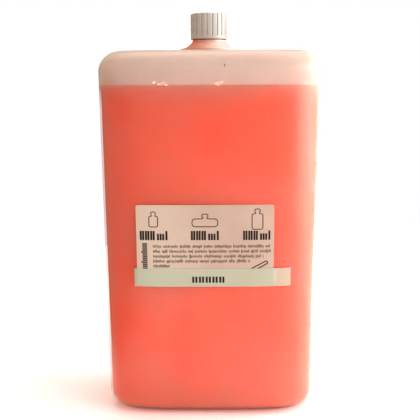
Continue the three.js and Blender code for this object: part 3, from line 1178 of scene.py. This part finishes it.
def bar(low_x, high_x, low_z, high_z, lift):
    """A plain rectangle of ink."""
    outline = np.array([(low_x, low_z), (high_x, low_z), (high_x, high_z), (low_x, high_z)], float)
    points = np.concatenate([on_wall(outline, lift + INK_TOP), on_wall(outline, lift + INK_FOOT)])
    faces = [[0, 1, 2, 3], [7, 6, 5, 4], [1, 0, 4, 5], [2, 1, 5, 6], [3, 2, 6, 7], [0, 3, 7, 4]]
    return points, faces


def stroke(outline, width, lift):
    """A closed line of ink along an outline that runs counter-clockwise."""
    ahead = np.roll(outline, -1, 0) - np.roll(outline, 1, 0)
    side = np.stack([ahead[:, 1], -ahead[:, 0]], 1)
    side /= np.linalg.norm(side, axis=1)[:, None]
    loops = [outline + side * width / 2, outline - side * width / 2]
    heights = (lift + INK_TOP, lift + INK_FOOT)
    points = np.concatenate([on_wall(loop, height) for height in heights for loop in loops])
    count, faces = len(outline), []
    for i in range(count):
        j = (i + 1) % count
        outer, inner, outer_under, inner_under = (i + layer * count for layer in range(4))
        outer_next, inner_next, under_next, inside_next = (j + layer * count for layer in range(4))
        faces.append([outer, outer_next, inner_next, inner])
        faces.append([outer_under, inner_under, inside_next, under_next])
        faces.append([outer_next, outer, outer_under, under_next])
        faces.append([inner, inner_next, inside_next, inner_under])
    return points, faces


def gathered(patches):
    """Many patches as the points and faces of one mesh."""
    points, faces, start = [], [], 0
    for some_points, some_faces in patches:
        points.append(some_points)
        faces += [[start + i for i in face] for face in some_faces]
        start += len(some_points)
    return np.concatenate(points), faces


print("ink tools ready")

# %% [markdown]
# The rhythm of a line of small print comes from the lengths of its words and from the stems that rise or
# drop. Both are drawn from a seeded generator, so the pattern is the same each time.

# %% Small print
SMALL_PRINT_LEFT = -28.0
SMALL_PRINT_ENDS = [29.6, 30.2, 26.7, 19.8, -19.7]
SMALL_PRINT_FOOT = 89.6
SMALL_PRINT_STEP = 2.5
SMALL_LETTER = 1.05
STEMS_IN_WORD = (5, 20)
STEM_WIDTHS = (0.18, 0.3)
STEM_GAPS = (0.17, 0.3)
STEM_RISES = [0.0, 0.0, 0.0, 0.45]
STEM_DROPS = [0.0, 0.0, 0.0, 0.0, 0.35]
WORD_GAP = 0.8
ink_draw = np.random.default_rng(21)


def small_print_line(foot, end, lift):
    """One line of greeked words, from the left margin to its end."""
    x, marks = SMALL_PRINT_LEFT, []
    while x < end:
        for _ in range(int(ink_draw.integers(*STEMS_IN_WORD))):
            width = ink_draw.uniform(*STEM_WIDTHS)
            if x + width > end:
                return marks
            rise = ink_draw.choice(STEM_RISES)
            drop = ink_draw.choice(STEM_DROPS)
            marks.append(bar(x, x + width, foot - drop, foot + SMALL_LETTER + rise, lift))
            x += width + ink_draw.uniform(*STEM_GAPS)
        x += WORD_GAP
    return marks


fine_marks = []
for row, end in enumerate(SMALL_PRINT_ENDS):
    fine_marks += small_print_line(SMALL_PRINT_FOOT - row * SMALL_PRINT_STEP, end, label_front)
print(f"{len(fine_marks)} fine stems")

# %% [markdown]
# Bold captions are wider stems, two for each figure, and a short column of level stems stands for an upright
# word.

# %% Captions
CAPTIONS = [(-34.4, -20.9), (-9.2, 4.3), (16.4, 29.6)]
CAPTION_FOOT = 93.4
CAPTION_RISE = 4.6
CAPTION_UNITS = 13.5
CAPTION_STEM = 0.95
TALL_STEMS = (0.0, 1.2, 2.6, 3.8, 5.2, 6.4)
LOW_STEMS = (8.5, 9.8, 11.1)
LAST_STEM = 12.7
LOW_SHARE = 0.7
UPRIGHT_STEMS = 13
UPRIGHT_LONGER = (3, 8)
UPRIGHT_FOOT = 78.7
UPRIGHT_STEP = 1.03
UPRIGHT_STEM = 0.7
UPRIGHT_LEFT, UPRIGHT_RIGHT = -33.3, -30.9
UPRIGHT_RISE = 0.6


def caption(left, right, lift):
    """A bold greeked caption: three pairs of tall stems, three low ones and a tall one."""
    unit = (right - left) / CAPTION_UNITS
    marks = []
    for start in (*TALL_STEMS, *LOW_STEMS, LAST_STEM):
        x = left + start * unit
        top = CAPTION_FOOT + CAPTION_RISE * (LOW_SHARE if start in LOW_STEMS else 1.0)
        marks.append(bar(x, x + CAPTION_STEM * unit, CAPTION_FOOT, top, lift))
    return marks


def upright_word(lift):
    """A greeked word that reads upwards beside the small print."""
    marks = []
    for step in range(UPRIGHT_STEMS):
        foot = UPRIGHT_FOOT + step * UPRIGHT_STEP
        left = UPRIGHT_LEFT - (UPRIGHT_RISE if step in UPRIGHT_LONGER else 0)
        marks.append(bar(left, UPRIGHT_RIGHT, foot, foot + UPRIGHT_STEM, lift))
    return marks


bold_marks = upright_word(label_front)
for left, right in CAPTIONS:
    bold_marks += caption(left, right, label_front)
print(f"{len(bold_marks)} bold stems")

# %% [markdown]
# Three plain outlines of containers stand over the captions, small, low and tall, and a plain stick lies at
# the lower right, half under the strip. Each is a polygon with rounded corners, drawn as a thin line of ink.

# %% Container outlines
OUTLINE_WIDTH = 0.42
OUTLINE_SPACING = 0.25
LONGEST_CUT = 0.45
SMALL_BOTTLE = {
    "middle": -27.6, "foot": 100.0, "body": (4.3, 5.3), "neck": (1.7, 0.8), "knob": (2.3, 1.4), "soft": 1.0
}
LOW_BOTTLE = {
    "middle": -2.3, "foot": 100.1, "body": (12.6, 3.9), "neck": (1.9, 0.9), "knob": (3.0, 1.5), "soft": 1.8
}
TALL_BOTTLE = {
    "middle": 23.4, "foot": 98.7, "body": (5.3, 7.7), "neck": (1.9, 0.9), "knob": (2.6, 1.5), "soft": 1.0
}
STICK_ENDS = ((17.5, 76.3), (28.4, 82.2))
STICK_WIDTH = 1.5
STICK_ROUNDING = 0.6
STICK_BOLDNESS = 1.2


def rounded(corners, radius):
    """A closed outline with its corners rounded off and its points spaced evenly."""
    corners = np.asarray(corners, float)
    turns = []
    for before, here, after in zip(np.roll(corners, 1, 0), corners, np.roll(corners, -1, 0)):
        cuts = [min(radius / np.linalg.norm(other - here), LONGEST_CUT) for other in (before, after)]
        turns.append(bend(here + cuts[0] * (before - here), here, here + cuts[1] * (after - here), 8))
    closed = np.concatenate(turns + [turns[0][:1]])
    run = np.concatenate([[0], np.cumsum(np.linalg.norm(np.diff(closed, axis=0), axis=1))])
    wanted = np.linspace(0, run[-1], int(run[-1] / OUTLINE_SPACING))[:-1]
    return np.stack([np.interp(wanted, run, closed[:, 0]), np.interp(wanted, run, closed[:, 1])], 1)


def container(middle, foot, body, neck, knob, soft):
    """Half of a bottle's outline, mirrored: body, neck and knob, each as (width, height)."""
    heights = [foot, foot + body[1], foot + body[1] + neck[1], foot + body[1] + neck[1] + knob[1]]
    halves = [body[0] / 2, neck[0] / 2, knob[0] / 2]
    right = [(halves[0], heights[0]), (halves[0], heights[1]), (halves[1], heights[1])]
    right += [(halves[1], heights[2]), (halves[2], heights[2]), (halves[2], heights[3])]
    left = [(-x, z) for x, z in right[::-1]]
    return rounded(np.array(right + left) + [middle, 0], soft)


def stick():
    """A straight bar with round ends."""
    low, high = np.array(STICK_ENDS[0]), np.array(STICK_ENDS[1])
    along = (high - low) / np.linalg.norm(high - low)
    aside = np.array([along[1], -along[0]]) * STICK_WIDTH / 2
    corners = [low + aside, high + aside, high - aside, low - aside]
    return rounded(corners, STICK_WIDTH * STICK_ROUNDING)


outlines = [container(**shape) for shape in (SMALL_BOTTLE, LOW_BOTTLE, TALL_BOTTLE)]
fine_marks += [stroke(outline, OUTLINE_WIDTH, label_front) for outline in outlines]
bold_marks.append(stroke(stick(), STICK_BOLDNESS * OUTLINE_WIDTH, label_front))
print(f"{len(outlines)} container outlines and a stick")

# %% [markdown]
# Two inks are used: a brown one for the fine lines and a blacker one for bold marks. Both vary a little in
# depth, as a thin layer of ink does, which a fine noise gives.

# %% Inks
INK_PATCH = 0.004
INK_SPAN = (0.2, 0.8)
INK_ROUGHNESS = (0.45, 0.6)
BROWN_TINTS = ((0.05, 0.028, 0.021, 1), (0.09, 0.055, 0.044, 1))
BLACK_TINTS = ((0.018, 0.012, 0.010, 1), (0.045, 0.03, 0.025, 1))


def ink_finish(name, deep, painted_shade):
    material, tree, shader = new_material(name, IOR=1.45)
    mottle = place_group(tree, fibre_mottle, Cloud_Size=INK_PATCH)
    colour = mix_colour(tree, mottle["Cloud"], deep, painted_shade)
    rough = ramp_between(tree, mottle["Fibre"], *INK_SPAN, *INK_ROUGHNESS)
    feed(shader, Base_Color=colour, Roughness=rough)
    return material


brown_ink = ink_finish("brown_ink", *BROWN_TINTS)
black_ink = ink_finish("black_ink", *BLACK_TINTS)
fine_points, fine_faces = gathered(fine_marks)
make_piece("fine_print", fine_points, fine_faces, [brown_ink], "bottle")
bold_points, bold_faces = gathered(bold_marks)
make_piece("bold_print", bold_points, bold_faces, [black_ink], "bottle")

# %% [markdown]
# The strip carries one short line in its middle. It is greeked like the rest, with wider spacing.

# %% Strip print
STRIP_MARK_LEFT = -8.8
STRIP_MARK_FOOT = 71.7
STRIP_MARK_RISE = 3.1
STRIP_PAIRS = 5
STRIP_PAIR_STEP = 3.35
STRIP_PAIR_STARTS = (0.0, 1.55)
STRIP_STEM = 1.0


def strip_marks():
    """Five pairs of stems of one height, evenly spaced."""
    lift = float(strip_lift(0.0, STRIP_MARK_FOOT)) + STICKER_THICKNESS
    marks = []
    for pair in range(STRIP_PAIRS):
        for start in STRIP_PAIR_STARTS:
            x = STRIP_MARK_LEFT + pair * STRIP_PAIR_STEP + start
            marks.append(bar(x, x + STRIP_STEM, STRIP_MARK_FOOT, STRIP_MARK_FOOT + STRIP_MARK_RISE, lift))
    return marks


mark_points, mark_faces = gathered(strip_marks())
make_piece("strip_print", mark_points, mark_faces, [black_ink], "bottle")

# %% [markdown]
# A dark fleck sits on the dry wall near the neck. Such specks are charred resin moulded into the plastic,
# and one is enough to make the wall look real. It is a thin flake with an uneven outline.

# %% Fleck in the wall
FLECK_PLACE = (7.6, 177.4)
FLECK_SIZE = (0.2, 0.7)
FLECK_TOP, FLECK_FOOT = 0.03, 0.005
FLECK_POINTS = 14


def fleck():
    """A flake a little thicker than ink, whose outline has three large waves and five small ones."""
    turn = np.linspace(0, 2 * np.pi, FLECK_POINTS, endpoint=False)
    uneven = 1 + 0.25 * np.sin(3 * turn + 0.6) + 0.12 * np.cos(5 * turn)
    across = FLECK_PLACE[0] + FLECK_SIZE[0] * uneven * np.cos(turn)
    up = FLECK_PLACE[1] + FLECK_SIZE[1] * uneven * np.sin(turn)
    outline = np.stack([across, up], 1)
    points = np.concatenate([on_wall(outline, FLECK_TOP), on_wall(outline, FLECK_FOOT)])
    top = list(range(FLECK_POINTS))
    under = [FLECK_POINTS + i for i in top]
    faces = [top, under[::-1]]
    for i, after in zip(top, top[1:] + top[:1]):
        faces.append([after, i, under[i], under[after]])
    return points, faces


fleck_points, fleck_faces = fleck()
make_piece("dark_fleck", fleck_points, fleck_faces, [brown_ink], "bottle")

# %% [markdown]
# The floor is a sweep of pale paper that runs up behind the pack without a corner, so no horizon shows. A
# glossy wall mirrors the paper beside it, so the paper is cut narrow on the left and behind the pack: there
# the pack's edges mirror the dim room and stand out. On the right it is wide, which makes that side pale. A
# faint glow keeps the paper pale in the shadow of the pack.

# %% Floor
FLOOR_DROP = 0.1
SWEEP_RIGHT = 700.0
SWEEP_LEFT = 115.0
SWEEP_BEHIND = 220.0
SWEEP_NARROWS = (150.0, 450.0)
SWEEP_NEAR, SWEEP_FAR = -650.0, 1100.0
SWEEP_RADIUS = 500.0
SWEEP_TOP = 2200.0
SWEEP_COLUMNS = 9
FLOOR_COLOUR = (0.95, 0.95, 0.95, 1)
FLOOR_GLOW_COLOUR = (1, 1, 1, 1)
FLOOR_GLOW = 0.1


def floor_sweep():
    path = joined(
        line((SWEEP_NEAR, -FLOOR_DROP), (SWEEP_FAR, -FLOOR_DROP), 12),
        arc((SWEEP_FAR, SWEEP_RADIUS - FLOOR_DROP), SWEEP_RADIUS, 270, 360, 24),
        line((SWEEP_FAR + SWEEP_RADIUS, SWEEP_RADIUS), (SWEEP_FAR + SWEEP_RADIUS, SWEEP_TOP), 6),
    )
    points = []
    for y, z in path:
        right = np.interp(y, SWEEP_NARROWS, (SWEEP_RIGHT, SWEEP_BEHIND))
        points += [(x, y, z) for x in np.linspace(-SWEEP_LEFT, right, SWEEP_COLUMNS)]
    mesh = bpy.data.meshes.new("floor_sweep")
    mesh.from_pydata((np.array(points) * MM).tolist(), [], grid_faces(len(path), SWEEP_COLUMNS, False))
    mesh.shade_smooth()
    material = new_material(
        "pale_floor", Base_Color=FLOOR_COLOUR, Roughness=0.7,
        Emission_Color=FLOOR_GLOW_COLOUR, Emission_Strength=FLOOR_GLOW,
    )[0]
    mesh.materials.append(material)
    floor = bpy.data.objects.new("floor_sweep", mesh)
    scene.collection.objects.link(floor)
    return floor


floor = floor_sweep()
print(f"floor of {len(floor.data.polygons)} faces")

# %% [markdown]
# A large soft window to the right does most of the work: it gives the pale band along the right edge and the
# bright side of the cap. A lamp above, a warm one in front and a weak one high on the left fill the shadows.
# One more brightens the floor on the right, which the wall mirrors, and one keeps the backdrop white. The
# room is dim and warm, but the camera sees plain white paper all around, so every side has the same quiet
# ground. Each lamp is given by its place, what it is aimed at and its size, in millimetres, and then by its
# watts and colour.

# %% Lights
WHITE, PINKISH, AMBER = (1, 1, 1), (1, 0.88, 0.8), (1, 0.72, 0.42)
LIGHTS = {
    "window": ((792, -212, 290), (0, 0, 100), (920, 780), 10.0, WHITE),
    "overhead": ((0, -420, 1200), (0, -80, 0), (1000, 1000), 1.5, WHITE),
    "front_fill": ((-380, -1420, 350), (0, 0, 90), (1200, 1300), 2.2, AMBER),
    "left_bounce": ((-760, -300, 560), (0, 0, 100), (600, 500), 2.6, PINKISH),
    "right_floor": ((430, -60, 270), (430, -60, 0), (420, 640), 1.8, WHITE),
    "backdrop": ((0, 500, 1500), (0, 1500, 300), (1200, 1200), 18.0, WHITE),
}
AMBIENT = (1.0, 0.86, 0.70, 1)
AMBIENT_STRENGTH = 0.37
PAPER_WHITE = (1.0, 1.0, 1.0, 1)
VIEW_GAMMA = 0.77


def soft_light(name, place, aim, size, watts, colour):
    """A rectangular lamp at a place, facing what it is aimed at."""
    lamp = bpy.data.lights.new(name, "AREA")
    lamp.shape = "RECTANGLE"
    lamp.size, lamp.size_y = size[0] * MM, size[1] * MM
    lamp.energy = watts
    lamp.color = colour
    holder = bpy.data.objects.new(name, lamp)
    scene.collection.objects.link(holder)
    holder.location = Vector(place) * MM
    holder.rotation_mode = "QUATERNION"
    holder.rotation_quaternion = (Vector(aim) - Vector(place)).to_track_quat("-Z", "Y")


for lamp_name, settings in LIGHTS.items():
    soft_light(lamp_name, *settings)
world = bpy.data.worlds.new("studio")
world.use_nodes = True
room = world.node_tree.nodes["Background"]
room.inputs["Color"].default_value = AMBIENT
room.inputs["Strength"].default_value = AMBIENT_STRENGTH
paper = add_node(world.node_tree, "ShaderNodeBackground", {"Color": PAPER_WHITE, "Strength": 1.0})
seen = add_node(world.node_tree, "ShaderNodeLightPath").outputs["Is Camera Ray"]
either = add_node(world.node_tree, "ShaderNodeMixShader", {0: seen, 1: room.outputs[0], 2: paper.outputs[0]})
world.node_tree.links.new(either.outputs[0], world.node_tree.nodes["World Output"].inputs["Surface"])
scene.world = world
scene.view_settings.view_transform = "Standard"
scene.view_settings.gamma = VIEW_GAMMA
print("lights:", list(LIGHTS))
